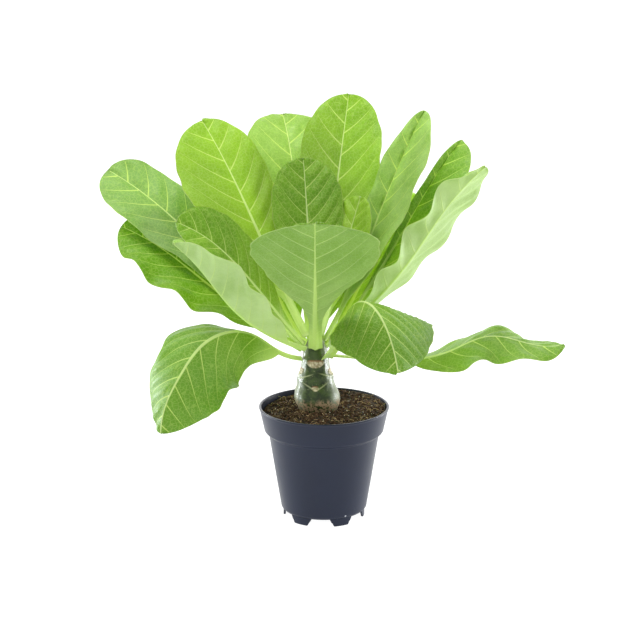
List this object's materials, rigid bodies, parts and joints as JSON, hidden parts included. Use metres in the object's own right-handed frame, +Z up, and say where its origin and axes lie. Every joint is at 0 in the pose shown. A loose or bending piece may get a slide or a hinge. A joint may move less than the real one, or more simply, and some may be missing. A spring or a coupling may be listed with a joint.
{
  "type": "potted brighamia",
  "caption": "Potted brighamia: a swollen green stem with a rosette of broad spoon-shaped leaves, growing in a round nursery pot on feet.",
  "frame": {"origin": "on the pot's axis, at the level of the feet's undersides, which is the bottom centre of the plant's box", "axes": "+Z up, +X to the right of the plant seen from its front, +Y to its back"},
  "size_m": [0.4563, 0.2966, 0.4074],
  "materials": {
    "pot_plastic": "satin dark blue-grey moulded plastic",
    "potting_soil": "rough crumbly potting mix of bark and peat",
    "stem_skin": "smooth waxy green skin, corky near the soil",
    "leaf_green": "satin fresh green leaf with pale veins",
    "bud_green": "satin pale green young leaf"
  },
  "bodies": {
    "root": {"pot": "pot_plastic", "soil": "potting_soil", "stem": "stem_skin", "leaf_01": "leaf_green", "leaf_02": "leaf_green", "leaf_03": "leaf_green", "leaf_04": "leaf_green", "leaf_05": "leaf_green", "leaf_06": "leaf_green", "leaf_07": "leaf_green", "leaf_08": "leaf_green", "leaf_09": "leaf_green", "leaf_10": "leaf_green", "leaf_11": "leaf_green", "leaf_12": "leaf_green", "leaf_13": "leaf_green", "leaf_14": "leaf_green", "leaf_15": "leaf_green", "leaf_16": "leaf_green", "leaf_17": "leaf_green", "leaf_18": "leaf_green", "leaf_19": "leaf_green", "crown_bud": "bud_green"}
  },
  "joints": []
}
